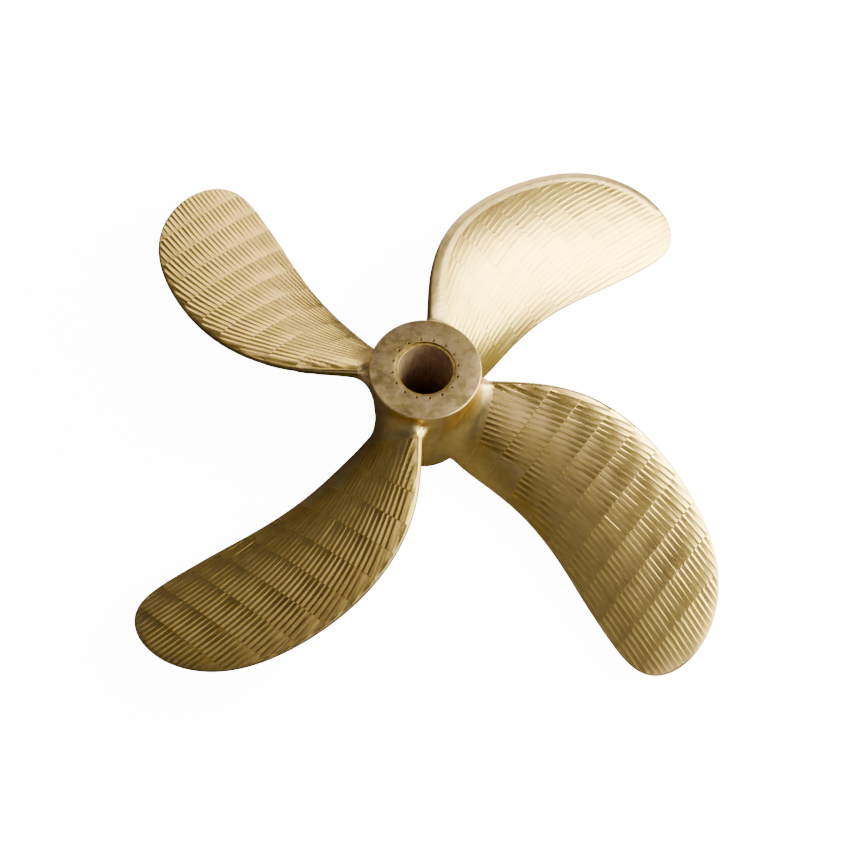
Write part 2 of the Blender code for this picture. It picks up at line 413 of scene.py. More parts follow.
class Milling:
    """The pattern of bands and strips on one blade."""

    def __init__(self, index):
        self.first = BAND_STARTS[index] - BAND_HEIGHT
        self.slope = BAND_SLOPES[index]
        self.smooth = SMOOTH_TAILS[index]
        self.steepness = math.tan(math.radians(FLANK_ANGLES[index]))
        self.nose_strip = NOSE_STRIPS[index]
        self.nose = edge_curve(1, NOSE_POINTS)
        self.leans = CUTTER_LEANS[index]
        self.sway = CUTTER_SWAYS[index]
        rng = np.random.default_rng(SEED + index)
        self.phase = rng.random(BAND_COUNT) * STRIP_PITCH
        shape = (BAND_COUNT, 2 * STRIPS_PER_SIDE)
        self.level = rng.normal(0.0, LEVEL_SPREAD, shape)
        self.tilt = rng.normal(0.0, TILT_SPREAD, shape)
        self.tone = rng.random(shape)
        self.turn = rng.normal(0.0, TURN_SPREAD, shape)

    def middle(self, band):
        """How far out the middle of a band lies."""
        return self.first + (band + 0.5) * BAND_HEIGHT

    def pitch(self, band):
        """Strip pitch in plan: the true pitch, foreshortened by the blade's lean."""
        return STRIP_PITCH * np.cos(Section(self.middle(band)).lean)

    def lean(self, band):
        """The strips' lean in the middle of a band, and how they fan out across it."""
        middle = self.middle(band)
        return STRIP_LEAN[0] + STRIP_LEAN[1] * middle, STRIP_FAN[0] + STRIP_FAN[1] * middle

    def place(self, band, strip_place, along):
        """Plan places from a place across the strips and one along the band."""
        lean, fan = self.lean(band)
        off = along - self.middle(band)
        across = strip_place + (lean + fan * strip_place) * off - STRIP_BEND * off ** 2
        return np.stack([across, along + self.slope * across], -1)

    def band_of(self, plan):
        """The band in which each place lies."""
        along = plan[:, 1] - self.slope * plan[:, 0]
        band = np.floor((along - self.first) / BAND_HEIGHT)
        return np.clip(band, 0, BAND_COUNT - 1).astype(int)

    def straighten(self, plan, band):
        """Places across the strips and along the band, as if the strips were straight."""
        lean, fan = self.lean(band)
        off = plan[:, 1] - self.slope * plan[:, 0] - self.middle(band)
        return (plan[:, 0] - lean * off + STRIP_BEND * off ** 2) / (1 + fan * off), off

    def read(self, plan):
        """Band, strip, place across the strip (-1 to 1) and across the band (0 to 1)."""
        band = self.band_of(plan)
        strip_place, off = self.straighten(plan, band)
        pitch = self.pitch(band)
        count = (strip_place - self.phase[band]) / pitch
        strip = np.floor(count).astype(int)
        gap = STEP_WIDTH / 2 / pitch
        across = np.clip(count - strip, gap, 1 - gap)
        across = (across - 0.5) / (0.5 - gap)
        return band, strip + STRIPS_PER_SIDE, across, off / BAND_HEIGHT + 0.5

    def past_border(self, plan):
        """How far each place lies on the ground strip along the nose."""
        return np.maximum(self.nose_strip - polygon_distance(plan, self.nose), 0)

    def is_smooth(self, plan):
        """Which places were ground smooth after the milling."""
        band = self.band_of(plan)
        strip_place, _ = self.straighten(plan, band)
        smooth = self.past_border(plan) > 0
        for smooth_band, limit in enumerate(self.smooth):
            smooth |= (band == smooth_band) & (strip_place < limit)
        return smooth

    def flank(self, plan):
        """The flank's share of the strip at each place, and where the place lies from its foot."""
        band, strip, across, along = self.read(plan)
        inner, outer = self.leans
        turn = inner + (outer - inner) * unit(along)
        turn = np.clip(turn + self.sway * plan[:, 0] + self.turn[band, strip], -1.0, 1.0)
        place = np.where(turn > 0, 1 + across, 1 - across) / 2
        return FLANK_SHARE * np.abs(turn), place

    def flank_tone(self, plan):
        """1 on the flanks that the cutter's side left, 0 on the strips' floors."""
        share, place = self.flank(plan)
        tone = unit((share - place) / FLANK_BLUR)
        return np.where(self.is_smooth(plan), 0.0, tone)

    def height(self, plan):
        """How far the milled surface lies out from the fair one."""
        band, strip, across, along = self.read(plan)
        inside = unit(along)
        height = np.tan(self.tilt[band, strip]) * across * STRIP_PITCH / 2
        height -= SCALLOP_DEPTH * (1 - across ** 2)
        share, place = self.flank(plan)
        rise = np.maximum(share - place, 0) + share * (place - 0.5)
        height += self.steepness * STRIP_PITCH * rise
        height += self.level[band, strip]
        height = np.where(self.is_smooth(plan), SMOOTH_SHARE * height, height)
        past = self.past_border(plan)
        height += math.tan(NOSE_RISE) * np.minimum(past, NOSE_RISE_WIDTH)
        height -= math.tan(NOSE_BEVEL) * np.maximum(past - NOSE_RISE_WIDTH, 0)
        return height + math.tan(BAND_TILT) * (inside - 0.5) * BAND_HEIGHT

    def lines(self):
        """Points in plan on all strips, and the edges that have to stay."""
        points = []
        edges = []
        for band in range(BAND_COUNT):
            pitch = self.pitch(band)
            low = FIRST_BAND_LOW if band == 0 else self.first + band * BAND_HEIGHT
            high = self.first + (band + 1) * BAND_HEIGHT
            gap = STEP_WIDTH / 2
            rows = np.linspace(low + gap, high - gap, BAND_ROWS + 1)
            inner = np.linspace(gap, pitch - gap, STRIP_LINES + 2)
            first, last = (side / pitch for side in LATTICE_SIDES)
            strips = np.arange(math.floor(first), math.ceil(last))
            places = (strips[:, None] * pitch + self.phase[band] + inner).ravel()
            grid = self.place(band, places[:, None], rows[None, :])
            base = sum(len(p) for p in points)
            points.append(grid.reshape(-1, 2))
            index = base + np.arange(grid.size // 2).reshape(grid.shape[:2])
            line = np.arange(len(places)) % (STRIP_LINES + 2)
            for column in np.nonzero((line == 0) | (line == STRIP_LINES + 1))[0]:
                edges += zip(index[column, :-1], index[column, 1:])
            for row in (0, -1):
                edges += zip(index[:-1, row], index[1:, row])
        return np.concatenate(points), edges


def polygon_distance(points, line):
    """Distance of each point from a polyline."""
    best = np.full(len(points), np.inf)
    for start, step in zip(line, np.diff(line, axis=0)):
        share = unit((points - start) @ step / (step ** 2).sum())
        off = points - start - share[:, None] * step
        best = np.minimum(best, (off ** 2).sum(1))
    return np.sqrt(best)


def inside_polygon(points, outline):
    """Which points lie inside a closed outline."""
    inside = np.zeros(len(points), bool)
    x, y = points.T
    for (x0, y0), (x1, y1) in zip(outline, np.roll(outline, -1, axis=0)):
        crosses = (y0 > y) != (y1 > y)
        if y0 != y1:
            inside ^= crosses & (x < (x1 - x0) * (y - y0) / (y1 - y0) + x0)
    return inside


def offset_line(line, distance):
    """A polyline moved to its left by a distance."""
    along = np.gradient(line, axis=0)
    along /= np.linalg.norm(along, axis=1)[:, None]
    return line + np.stack([-along[:, 1], along[:, 0]], -1) * distance


def plan_lines(milling, rim_line, root):
    """Points on and near the milled part, edges, the outline and the sharp edges' numbers."""
    outline = np.concatenate([rim_line, root[1:-1]])
    lattice, edges = milling.lines()
    near = inside_polygon(lattice, outline)
    near |= polygon_distance(lattice, rim_line) < LATTICE_MARGIN
    near |= polygon_distance(lattice, root) < LATTICE_MARGIN
    renumber = np.cumsum(near) - 1
    edges = [(int(renumber[a]), int(renumber[b])) for a, b in edges if near[a] and near[b]]
    sharp = set(range(len(edges)))
    total = int(near.sum())
    lines = [offset_line(rim_line, distance) for distance in RIMS]
    lines.append(start_curve(MILL_START_STEP))
    for line in lines:
        edges += [(total + i, total + i + 1) for i in range(len(line) - 1)]
        total += len(line)
    sharp.update(range(len(edges) - len(lines[-1]) + 1, len(edges)))
    points = np.concatenate([lattice[near], *lines, outline])
    return points, edges, list(range(total, total + len(outline))), sharp


def triangulate(milling):
    """Triangles in plan over the milled part of a blade, their vertices and the sharp edges."""
    tail = edge_curve(-1, EDGE_POINTS)
    nose = edge_curve(1, EDGE_POINTS)
    root = start_curve()
    rim_line = np.concatenate([nose[:-1], tail[::-1]])
    points, edges, face, sharp = plan_lines(milling, rim_line, root)
    made = delaunay_2d_cdt([Vector(p) for p in points], edges, [face], 0, 1e-6)
    verts, edge_list, faces, _, edge_origins, face_origins = made
    plan = np.array([v[:] for v in verts])
    triangles = np.array([f for f, origins in zip(faces, face_origins) if 0 in origins])
    used = np.unique(triangles)
    renumber = np.full(len(plan), -1)
    renumber[used] = np.arange(len(used))
    marked = []
    for pair, origins in zip(edge_list, edge_origins):
        a, b = renumber[list(pair)]
        if a >= 0 and b >= 0 and not sharp.isdisjoint(origins):
            marked.append((a, b))
    return plan[used], renumber[triangles], marked, rim_line, root


def blade_displacement(milling, plan, rim_distance):
    """How far the blade's surface lies out from the fair one, at places in plan."""
    fade = smoothstep(rim_distance, *RIM_FADE)
    radius = np.hypot(plan[:, 0], plan[:, 1])
    begun = unit((radius - start_radius(plan[:, 0])) / MILL_START_STEP)
    return fade * begun * (milling.height(plan) - MILL_CUT)


def root_radii(t, side, outer):
    """Radii of the rows from the milling's start down to just inside the hub, for each column."""
    radius = np.full_like(outer, HUB_RADIUS_MIDDLE)
    for _ in range(ROOT_STEPS):
        here = Section(radius)
        along, across = here.place(t, side, FILLET_LEAST)
        height = here.height + along * np.sin(here.lean) + across * np.cos(here.lean)
        radius = hub_radius(height) - HUB_OVERLAP
    steps = np.linspace(0.0, 1.0, ROOT_ROWS + 1)[1:, None]
    rows = radius + (outer - radius) * (1 - steps) ** 2
    return np.concatenate([rows, np.full((1, len(outer)), ROOT_END_RADIUS)])


def milled_sides(milling, plan, rim_distance, on_rim):
    """Points on the back and then on the face over the plan, and their t on the outline."""
    section, along = from_plan(plan)
    lift = blade_displacement(milling, plan, rim_distance)
    points = []
    t_sides = []
    for side in (1, -1):
        t = np.where(on_rim, np.sign(along), section.find(along, side))
        t_sides.append(t)
        points.append(section.to_space(*section.place(t, side, FILLET_LEAST, lift)))
    return np.concatenate(points), t_sides


def root_ring(plan, root_line):
    """The vertices on the milling's start, up the back and down the face, and their sides."""
    on_start = np.nonzero(polygon_distance(plan, root_line) < ON_LINE)[0]
    order = np.argsort(np.arctan2(plan[on_start, 0], plan[on_start, 1]))
    columns = on_start[order]
    columns = np.concatenate([columns, columns[-2:0:-1]])
    side = np.ones(len(columns))
    side[len(on_start):] = -1.0
    return columns, side


def root_rows(plan, ring, t, side, ring_index, base):
    """Points, places in plan and faces from the milling's start down into the hub."""
    points = []
    places = []
    faces = []
    previous = ring_index
    for radius in root_radii(t, side, np.hypot(plan[ring, 0], plan[ring, 1])):
        here = Section(radius)
        along, across = here.place(t, side, FILLET_LEAST)
        points.append(here.to_space(along, across))
        places.append(to_plan(here, along))
        current = base + np.arange(len(ring))
        base += len(ring)
        faces += zip(previous, np.roll(previous, -1), np.roll(current, -1), current)
        previous = current
    faces.append(tuple(previous))
    return points, places, faces


def blade_map(milling, plan, triangles, root_places, root_faces):
    """The map along the strips for every corner: the back's, the face's and the root's."""
    band = np.repeat(milling.band_of(plan[triangles].mean(axis=1)), 3)
    uv = []
    for corners in (triangles[:, ::-1], triangles):
        uv.append(np.stack(milling.straighten(plan[corners.ravel()], band), -1))
    places = np.concatenate([plan, plan] + root_places)
    uv.append(places[np.concatenate([np.array(face) for face in root_faces])])
    return np.concatenate(uv)


def blade_geometry(index):
    """Vertices, faces, marks and face data of one blade, still at the first blade's angle."""
    milling = Milling(index)
    plan, triangles, marked, rim_line, root_line = triangulate(milling)
    rim_distance = polygon_distance(plan, rim_line)
    on_rim = rim_distance < ON_LINE
    verts, t_sides = milled_sides(milling, plan, rim_distance, on_rim)
    count = len(plan)
    face_index = np.arange(count) + count
    face_index[on_rim] = np.arange(count)[on_rim]
    faces = [tuple(triangle[::-1]) for triangle in triangles]
    faces += [tuple(face_index[triangle]) for triangle in triangles]

    ring, side = root_ring(plan, root_line)
    t = np.where(side > 0, t_sides[0][ring], t_sides[1][ring])
    ring_index = np.where(side > 0, ring, face_index[ring])
    root_points, root_places, root_faces = root_rows(plan, ring, t, side, ring_index, len(verts))
    verts = np.concatenate([verts] + root_points)
    faces += root_faces
    sharp = marked + [(face_index[a], face_index[b]) for a, b in marked]
    sharp += zip(ring_index, np.roll(ring_index, -1))

    centre = plan[triangles].mean(axis=1)
    band, strip, _, _ = milling.read(centre)
    root_count = len(root_faces)
    tones = [milling.tone[band, strip]] * 2 + [np.full(root_count, 0.5)]
    smooth = [milling.is_smooth(centre)] * 2 + [np.ones(root_count, bool)]
    # Dull edge along the rim, whose darker colour is partly painted shade for the dark reflections
    # along the edges
    rim = 1 - smoothstep(rim_distance, *RIM_DULL_AND_SHADE)
    root_zeros = np.zeros(len(verts) - 2 * count)
    marks = {"flank": np.concatenate([milling.flank_tone(plan)] * 2 + [root_zeros]),
             "rim": np.concatenate([rim, rim, root_zeros])}
    uv = blade_map(milling, plan, triangles, root_places, root_faces)
    return verts, faces, sharp, np.concatenate(smooth), np.concatenate(tones), marks, uv


def add_object(name, data):
    """A new object in the scene."""
    item = bpy.data.objects.new(name, data)
    bpy.context.scene.collection.objects.link(item)
    return item


def store(mesh, name, kind, domain, values):
    """Values kept in the mesh under a name."""
    mesh.attributes.new(name, kind, domain).data.foreach_set("value", values)


def make_mesh(name, verts, faces, sharp, materials, numbers):
    """A smooth mesh with its sharp edges and materials, and which vertices its faces use."""
    used = np.zeros(len(verts), bool)
    for face in faces:
        used[list(face)] = True
    renumber = np.cumsum(used) - 1
    faces = [renumber[list(face)].tolist() for face in faces]
    mesh = bpy.data.meshes.new(name)
    mesh.from_pydata(verts[used].tolist(), [], faces)
    mesh.shade_smooth()
    marked = {tuple(sorted((renumber[a], renumber[b]))) for a, b in sharp}
    flags = [tuple(sorted(edge.vertices)) in marked for edge in mesh.edges]
    store(mesh, "sharp_edge", "BOOLEAN", "EDGE", flags)
    for material in materials:
        mesh.materials.append(material)
    mesh.polygons.foreach_set("material_index", numbers)
    return mesh, used


def make_blade(index, materials):
    """One blade with its milling and fillet, in place of its plain solid."""
    verts, faces, sharp, smooth, tones, marks, uv = blade_geometry(index)
    name = f"blade_{index + 1}"
    mesh, used = make_mesh(name + "_milled", verts, faces, sharp, materials, smooth.astype(int))
    store(mesh, "tone", "FLOAT", "FACE", tones)
    for mark, values in marks.items():
        store(mesh, mark, "FLOAT", "POINT", values[used])
    mesh.uv_layers.new(name="along_strips").data.foreach_set("uv", uv.ravel())
    mesh.transform(Matrix.Rotation(index * math.tau / BLADE_COUNT, 4, "Z"))
    blade = add_object(name + "_milled", mesh)
    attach(blade, "root")
    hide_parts(name)


def hub_wave(angle, height):
    """Slight waves that grinding left on the hub's side, fading out at both ends."""
    fade = smoothstep(height, *GRIND_FADE_AFT)
    fade *= smoothstep(HUB_LENGTH - height, *GRIND_FADE_FORWARD)
    wave = 0.0
    for around, up, phase, size in GRIND_WAVES:
        wave += size * np.sin(around * angle + up * height + phase)
    return GRIND_WAVE * fade * wave / 2


def broken_corner(corner, before, after):
    """Three points that round a corner between two directions."""
    steps = [np.subtract(point, corner) for point in (before, after)]
    first, last = (corner + step / np.linalg.norm(step) * EDGE_BREAK for step in steps)
    middle = (first + last + 2 * np.array(corner)) / 4
    return [tuple(first), tuple(middle), tuple(last)]


def hub_profile():
    """The hub's closed section as (radius, height, surface), each corner broken."""
    top = HUB_LENGTH
    shoulder = top - RECESS_DEPTH
    bore_aft = BORE_RADIUS_FORWARD - shoulder * BORE_TAPER / 2
    heights = np.linspace(top - HUB_CHAMFER, HUB_CHAMFER, HUB_ROWS)
    side = [(hub_radius(z), z) for z in heights]
    heights = np.linspace(BORE_CHAMFER_AFT, shoulder - BORE_LIP, BORE_ROWS)[1:-1]
    bore = [(bore_aft + z * BORE_TAPER / 2, z) for z in heights]
    # Each corner with the surface that follows it, and the rows that lie on that surface
    corners = [
        ((HUB_RADIUS_FORWARD - HUB_CHAMFER, top), SIDE, []),
        (side[0], SIDE, side[1:-1]),
        (side[-1], SIDE, []),
        ((HUB_RADIUS_AFT - HUB_CHAMFER, 0.0), FACE, []),
        ((bore_aft + BORE_CHAMFER_AFT, 0.0), RECESS, []),
        ((bore_aft, BORE_CHAMFER_AFT), BORE, bore),
        ((BORE_RADIUS_FORWARD, shoulder - BORE_LIP), RECESS, []),
        ((BORE_RADIUS_FORWARD + BORE_LIP, shoulder), RECESS, []),
        ((RECESS_RADIUS, shoulder), RECESS, []),
        ((RECESS_RADIUS, top), FACE, []),
    ]
    profile = []
    for i, (corner, surface, rows) in enumerate(corners):
        before = side[-2] if corner == side[-1] else corners[i - 1][0]
        after = side[1] if corner == side[0] else corners[(i + 1) % len(corners)][0]
        points = broken_corner(corner, before, after) + rows
        profile += [(*point, surface) for point in points]
    return profile


def ring(radius, height, segments, centre=(0.0, 0.0)):
    """Points round a circle."""
    angle = np.arange(segments) * math.tau / segments
    x = centre[0] + radius * np.cos(angle)
    y = centre[1] + radius * np.sin(angle)
    return np.stack([x, y, np.full(segments, height)], -1)


def bridge(first, second, segments):
    """Quads between two rings that start at these vertices."""
    quads = []
    for i in range(segments):
        j = (i + 1) % segments
        quads.append((first + i, second + i, second + j, first + j))
    return quads


def hole_profile():
    """A tapped hole's section from its mouth to its floor, as (radius, depth)."""
    points = [(HOLE_RADIUS + COUNTERSINK, 0.0), (HOLE_RADIUS, COUNTERSINK)]
    for turn in range(int((HOLE_DEPTH - THREAD_RUNOUT) / THREAD_PITCH)):
        depth = COUNTERSINK + (turn + 0.5) * THREAD_PITCH
        points.append((HOLE_RADIUS - THREAD_DEPTH, depth))
        points.append((HOLE_RADIUS, depth + THREAD_PITCH / 2))
    points.append((HOLE_RADIUS - THREAD_DEPTH, HOLE_DEPTH - HOLE_FLOOR_EDGE))
    return points


def add_hole(centre, start, rings, faces):
    """Adds one tapped hole from vertex number start on, and returns the next free number."""
    for step, (radius, depth) in enumerate(hole_profile()):
        rings.append(ring(radius, HUB_LENGTH - depth, HOLE_SEGMENTS, centre))
        if step:
            faces += bridge(start, start - HOLE_SEGMENTS, HOLE_SEGMENTS)
        start += HOLE_SEGMENTS
    rings.append(np.array([[*centre, HUB_LENGTH - HOLE_DEPTH]]))
    last = start - HOLE_SEGMENTS
    for i in range(HOLE_SEGMENTS):
        faces.append((last + i, last + (i + 1) % HOLE_SEGMENTS, start))
    return start + 1


def hub_geometry():
    """Vertices, faces and surfaces of the hub, with its tapped holes."""
    profile = hub_profile()
    rings = []
    for radius, height, surface in profile:
        circle = ring(radius, height, HUB_SEGMENTS)
        if surface == SIDE:
            angle = np.arctan2(circle[:, 1], circle[:, 0])
            circle[:, :2] *= (1 + hub_wave(angle, height) / radius)[:, None]
        rings.append(circle)
    faces = []
    surfaces = []
    for i in range(len(profile) - 1):
        faces += bridge(i * HUB_SEGMENTS, (i + 1) * HUB_SEGMENTS, HUB_SEGMENTS)
        surfaces += [profile[i][2]] * HUB_SEGMENTS
    circles = [(0, HUB_SEGMENTS), ((len(profile) - 1) * HUB_SEGMENTS, HUB_SEGMENTS)]
    count = len(profile) * HUB_SEGMENTS
    for index in range(HOLE_COUNT):
        angle = HOLE_PHASE + index * math.tau / HOLE_COUNT
        centre = (HOLE_CIRCLE_RADIUS * math.cos(angle), HOLE_CIRCLE_RADIUS * math.sin(angle))
        circles.append((count, HOLE_SEGMENTS))
        count = add_hole(centre, count, rings, faces)
    surfaces += [THREAD] * (len(faces) - len(surfaces))
    verts = np.concatenate(rings)
    faces += pierced_face(verts, circles)
    surfaces += [FACE] * (len(faces) - len(surfaces))
    return verts, faces, surfaces


def pierced_face(verts, circles):
    """Triangles between an outer circle and all the others inside it, facing up."""
    index = np.concatenate([np.arange(start, start + size) for start, size in circles])
    edges = []
    base = 0
    for _, size in circles:
        edges += [(base + i, base + (i + 1) % size) for i in range(size)]
        base += size
    flat = [Vector(p) for p in verts[index][:, :2]]
    made, _, faces, origins, _, _ = delaunay_2d_cdt(flat, edges, [], 0, 1e-7)
    places = np.array([v[:] for v in made])
    middles = np.array([places[list(face)].mean(axis=0) for face in faces])
    kept = np.ones(len(faces), bool)
    for start, size in circles[1:]:
        kept &= ~inside_polygon(middles, verts[start:start + size, :2])
    triangles = []
    for face in np.array(faces)[kept]:
        a, b, c = places[face]
        if (b[0] - a[0]) * (c[1] - a[1]) < (b[1] - a[1]) * (c[0] - a[0]):
            face = face[::-1]
        triangles.append(tuple(int(index[origins[i][0]]) for i in face))
    return triangles


def sharp_edges(verts, faces):
    """Edges between faces that meet at more than the sharp angle."""
    normals = []
    for face in faces:
        a, b, c = (verts[i] for i in face[:3])
        normal = np.cross(b - a, c - a)
        normals.append(normal / max(np.linalg.norm(normal), 1e-12))
    met = {}
    for number, face in enumerate(faces):
        for a, b in zip(face, face[1:] + face[:1]):
            met.setdefault((min(a, b), max(a, b)), []).append(number)
    limit = math.cos(SHARP_ANGLE)
    return [edge for edge, pair in met.items()
            if len(pair) == 2 and normals[pair[0]] @ normals[pair[1]] < limit]


def make_hub(materials):
    """The hub with its turned details, in place of its plain solid."""
    verts, faces, surfaces = hub_geometry()
    sharp = sharp_edges(verts, faces)
    mesh, _ = make_mesh("hub_turned", verts, faces, sharp, materials, surfaces)
    hub = add_object("hub_turned", mesh)
    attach(hub, "root")
    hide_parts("hub")


class Nodes:
    """The nodes of a material or of the world, added one by one."""

    def __init__(self, owner):
        owner.use_nodes = True
        self.nodes = owner.node_tree.nodes
        self.links = owner.node_tree.links

    def link(self, value, socket):
        """A link for an output, or the value itself for a number or colour."""
        if isinstance(value, bpy.types.NodeSocket):
            self.links.new(value, socket)
        else:
            socket.default_value = value

    def node(self, kind, inputs, output=0, **settings):
        """A node's output, after its inputs and settings are made."""
        node = self.nodes.new("ShaderNode" + kind)
        for name, value in settings.items():
            setattr(node, name, value)
        for name, value in inputs.items():
            self.link(value, node.inputs[name])
        return node.outputs[output]


class Look(Nodes):
    """A material whose nodes stand in front of its shader."""

    def __init__(self, name, settings=METAL_SETTINGS):
        self.material = bpy.data.materials.new(name)
        super().__init__(self.material)
        self.shader = self.nodes["Principled BSDF"]
        for socket, value in settings.items():
            self.shader.inputs[socket].default_value = value

    def math(self, operation, first, second=0.0):
        """A sum, product or other operation on one or two values."""
        return self.node("Math", {0: first, 1: second}, operation=operation)

    def place(self):
        """The place on the object in metres."""
        return self.node("TexCoord", {}, "Object")

    def noise(self, place, scale, detail=3.0, roughness=0.55):
        """Soft irregular patches, scale of them to a metre."""
        inputs = {"Vector": place, "Scale": scale, "Detail": detail, "Roughness": roughness}
        return self.node("TexNoise", inputs)

    def stretch(self, place, scales, turn=0.0):
        """Coordinates stretched along the axes, after a turn about the third one."""
        inputs = {"Vector": place, "Scale": scales, "Rotation": (0.0, 0.0, turn)}
        return self.node("Mapping", inputs)

    def spread(self, value, low, high, to_low=0.0, to_high=1.0):
        """A value taken from one range to another and kept inside it."""
        inputs = enumerate((value, low, high, to_low, to_high))
        return self.node("MapRange", dict(inputs))

    def attribute(self, name):
        """A value stored in the mesh, 0 where the mesh has none."""
        return self.node("Attribute", {}, "Fac", attribute_name=name)

    def total(self, *terms):
        """A sum of values, each taken from one range to another."""
        value = self.spread(*terms[0])
        for term in terms[1:]:
            value = self.math("ADD", value, self.spread(*term))
        return value

    def rings(self, place, scale, distortion):
        """Rings round the shaft, as turning leaves them."""
        inputs = {"Vector": place, "Scale": scale, "Distortion": distortion}
        return self.node("TexWave", inputs, "Fac", wave_type="RINGS", rings_direction="Z")

    def mix(self, share, first, second):
        """A blend of two colours."""
        first, second = ((*c, 1.0) if isinstance(c, tuple) else c for c in (first, second))
        inputs = {"Factor": share, "A": first, "B": second}
        return self.node("Mix", inputs, "Result", data_type="RGBA")

    def dull_and_shaded_rim(self, colour):
        """The colour, with dull, darker bronze along the blade's rim; the darkness is partly
        painted shade for the dark reflections along the edges.
        """
        share = self.math("MULTIPLY", self.attribute("rim"), RIM_DULL_AND_SHADE_SHARE)
        return self.mix(share, colour, RIM_DULL_AND_SHADE_COLOUR)

    def bump(self, height, distance, before=None):
        """A bump of a real height in metres, on top of an earlier one."""
        inputs = {"Height": height, "Distance": distance, "Strength": 1.0}
        if before is not None:
            inputs["Normal"] = before
        return self.node("Bump", inputs)

    def finish(self, colour, roughness, normal):
        """The material, once its shader has its inputs."""
        self.link(colour, self.shader.inputs["Base Color"])
        self.link(roughness, self.shader.inputs["Roughness"])
        self.link(normal, self.shader.inputs["Normal"])
        return self.material


def milled_bronze():
    """Blades: fine feed marks along each strip and a slightly different tone for each."""
    look = Look("milled_bronze")
    place = look.place()
    strips = look.node("UVMap", {}, uv_map="along_strips")
    tone = look.attribute("tone")
    flank = look.attribute("flank")
    clouds = look.noise(place, 3.2, 4.0)
    patches = look.noise(place, 26.0, 4.0, 0.6)
    streaks = look.noise(look.stretch(strips, (330.0, 9.0, 1.0)), 1.0, 2.0)
    wave = {"Vector": strips, "Scale": 150.0, "Distortion": 0.6, "Detail": 1.0}
    feed = look.node("TexWave", wave, "Fac", bands_direction="Y")
    share = look.total((tone, 0.0, 1.0, 0.0, 0.45), (patches, 0.35, 0.7, 0.0, 0.3),
                       (streaks, 0.3, 0.7, 0.0, 0.25))
    warm = look.mix(share, (0.80, 0.545, 0.235), (0.97, 0.715, 0.325))
    olive = look.mix(share, (0.77, 0.555, 0.215), (0.95, 0.72, 0.315))
    # The rims darkened, partly as painted shade along the edges
    colour = look.dull_and_shaded_rim(look.mix(look.spread(clouds, 0.38, 0.62), warm, olive))
    rough = look.total((clouds, 0.3, 0.7, 0.24, 0.31), (streaks, 0.3, 0.75, 0.0, 0.07),
                       (flank, 0.0, 1.0, 0.0, 0.08))
    normal = look.bump(streaks, 0.05 * MM)
    normal = look.bump(feed, 0.012 * MM, normal)
    return look.finish(colour, rough, normal)


def ground_bronze():
    """Fillets, hub side and rims: hand-ground, with short crossing scratches."""
    look = Look("ground_bronze")
    place = look.place()
    clouds = look.noise(place, 6.0, 4.0)
    patches = look.noise(place, 34.0, 5.0, 0.6)
    one = look.noise(look.stretch(place, (420.0, 28.0, 60.0), 0.5), 1.0, 2.0)
    other = look.noise(look.stretch(place, (30.0, 390.0, 80.0), -0.3), 1.0, 2.0)
    scratches = look.math("ADD", one, other)
    share = look.total((clouds, 0.3, 0.7, 0.0, 0.55), (patches, 0.35, 0.7, 0.0, 0.45))
    # The rims darkened, partly as painted shade along the edges
    colour = look.dull_and_shaded_rim(look.mix(share, (0.80, 0.59, 0.31), (0.94, 0.73, 0.40)))
    rough = look.total((patches, 0.3, 0.7, 0.34, 0.42), (scratches, 0.7, 1.3, 0.0, 0.06))
    normal = look.bump(clouds, 0.8 * MM)
    normal = look.bump(scratches, 0.05 * MM, normal)
    return look.finish(colour, rough, normal)


def turned_face():
    """Forward and aft faces: dull turned bronze with smudges and concentric tool marks."""
    look = Look("turned_face")
    place = look.place()
    smudges = look.noise(place, 17.0, 5.0, 0.62)
    clouds = look.noise(look.stretch(place, (9.0, 13.0, 9.0), 0.6), 1.0, 3.0)
    specks = look.noise(place, 160.0, 3.0, 0.6)
    share = look.total((smudges, 0.36, 0.66, 0.0, 0.8), (specks, 0.4, 0.75, 0.0, 0.25))
    olive = look.mix(share, (0.28, 0.205, 0.107), (0.67, 0.515, 0.30))
    pink = look.mix(share, (0.335, 0.235, 0.153), (0.72, 0.54, 0.36))
    colour = look.mix(look.spread(clouds, 0.36, 0.56), olive, pink)
    rough = look.spread(smudges, 0.3, 0.7, 0.54, 0.36)
    normal = look.bump(look.rings(place, 210.0, 0.4), 0.03 * MM)
    normal = look.bump(smudges, 0.5 * MM, normal)
    return look.finish(colour, rough, normal)


def turned_recess():
    """Recess, its lip and the chamfers: clean turning, cut in rings."""
    look = Look("turned_recess")
    place = look.place()
    patches = look.noise(place, 40.0, 4.0, 0.6)
    share = look.spread(patches, 0.35, 0.7)
    colour = look.mix(share, (0.37, 0.26, 0.115), (0.60, 0.43, 0.205))
    rough = look.spread(patches, 0.3, 0.7, 0.50, 0.38)
    normal = look.bump(look.rings(place, 300.0, 0.2), 0.02 * MM)
    return look.finish(colour, rough, normal)


def scraped_bore():
    """The tapered bore: dull reddish bronze, scraped by hand in slanting strokes."""
    look = Look("scraped_bore", BORE_SETTINGS)
    place = look.place()
    parts = look.nodes.new("ShaderNodeSeparateXYZ")
    look.link(place, parts.inputs[0])
    around = look.math("ARCTAN2", parts.outputs["Y"], parts.outputs["X"])
    around = look.math("MULTIPLY", around, BORE_RADIUS_FORWARD)
    unrolled = look.node("CombineXYZ", {"X": around, "Y": parts.outputs["Z"]})
    strokes = look.noise(look.stretch(unrolled, (85.0, 12.0, 1.0), 0.9), 1.0, 3.0)
    stains = look.noise(place, 22.0, 5.0, 0.6)
    share = look.total((strokes, 0.35, 0.7, 0.0, 0.6), (stains, 0.35, 0.7, 0.0, 0.4))
    colour = look.mix(share, (0.43, 0.29, 0.23), (0.64, 0.49, 0.33))
    rough = look.spread(strokes, 0.3, 0.7, 0.60, 0.75)
    return look.finish(colour, rough, look.bump(strokes, 0.4 * MM))


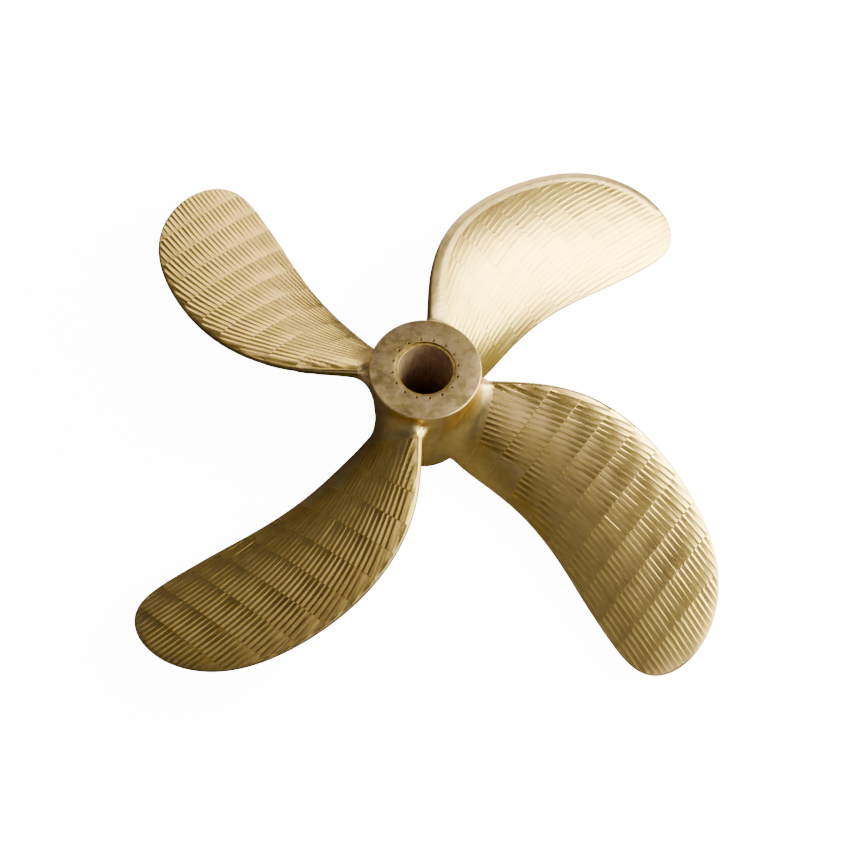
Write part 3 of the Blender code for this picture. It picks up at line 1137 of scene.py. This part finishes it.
def tapped_thread():
    """Tapped holes: bronze with stains of cutting oil."""
    look = Look("tapped_thread")
    stains = look.noise(look.place(), 240.0, 3.0)
    share = look.spread(stains, 0.35, 0.65)
    colour = look.mix(share, (0.46, 0.33, 0.19), (0.74, 0.55, 0.33))
    rough = look.spread(stains, 0.3, 0.7, 0.28, 0.50)
    return look.finish(colour, rough, look.bump(stains, 0.03 * MM))


def make_panel(name, azimuth, elevation, size, radiance, colour):
    """A soft light that faces the propeller."""
    light = bpy.data.lights.new(name, "AREA")
    light.shape = "RECTANGLE"
    light.size, light.size_y = size
    light.energy = radiance * math.pi * size[0] * size[1]
    light.color = colour
    a, e = map(math.radians, (azimuth, elevation))
    back = Vector((math.sin(a) * math.cos(e), -math.cos(a) * math.cos(e), math.sin(e)))
    item = add_object(name, light)
    item.location = Vector(PANEL_CENTRE) + back * PANEL_DISTANCE
    item.rotation_mode = "QUATERNION"
    item.rotation_quaternion = back.to_track_quat("Z", "Y")


def make_camera():
    """The camera at the photograph's angle."""
    camera = add_object("camera", bpy.data.cameras.new("camera"))
    camera.data.sensor_width = CAMERA_SENSOR
    camera.data.lens = CAMERA_LENS
    back = Vector((0, -math.sin(CAMERA_TILT), math.cos(CAMERA_TILT)))
    turn = Matrix.Rotation(CAMERA_TILT, 4, "X") @ Matrix.Rotation(CAMERA_ROLL, 4, "Z")
    turn = turn @ Matrix.Rotation(CAMERA_PAN, 4, "Y") @ Matrix.Rotation(CAMERA_PITCH, 4, "X")
    place = Vector((0, 0, HUB_LENGTH)) + back * CAMERA_DISTANCE
    camera.matrix_world = Matrix.Translation(place) @ turn
    bpy.context.scene.camera = camera


def make_floor():
    """A plain pale floor, lit for the camera and darker in the bronze's reflections."""
    mesh = bpy.data.meshes.new("floor")
    mesh.from_pydata(FLOOR_CORNERS, [], [(0, 1, 2, 3)])
    floor = add_object("floor", mesh)
    look = Look("pale_floor", FLOOR_SETTINGS)
    seen = look.node("LightPath", {}, "Is Camera Ray")
    mirrored = look.node("BsdfDiffuse", {"Color": FLOOR_MIRRORED})
    both = look.node("MixShader", {0: seen, 1: mirrored, 2: look.shader.outputs[0]})
    look.link(both, look.nodes["Material Output"].inputs["Surface"])
    mesh.materials.append(look.material)


def make_world():
    """A pale room for the camera, dim in the bronze's reflections."""
    world = bpy.data.worlds.new("world")
    bpy.context.scene.world = world
    room = Nodes(world)
    seen = room.node("LightPath", {}, "Is Camera Ray")
    dim, pale = (room.node("Background", {"Color": PURE_WHITE, "Strength": strength})
                 for strength in (WORLD_STRENGTH, SEEN_STRENGTH))
    both = room.node("MixShader", {0: seen, 1: dim, 2: pale})
    room.link(both, room.nodes["World Output"].inputs["Surface"])
    room.nodes.remove(room.nodes["Background"])


def main():
    """The whole scene: blades, hub, floor, room, lamps and camera."""
    milled = milled_bronze()
    ground = ground_bronze()
    for index in range(BLADE_COUNT):
        make_blade(index, (milled, ground))
    make_hub((turned_face(), ground, scraped_bore(), turned_recess(), tapped_thread()))
    make_floor()
    make_world()
    for name, settings in PANELS.items():
        make_panel(name, *settings)
    make_camera()
    bpy.context.scene.view_settings.look = "AgX - High Contrast"


main()
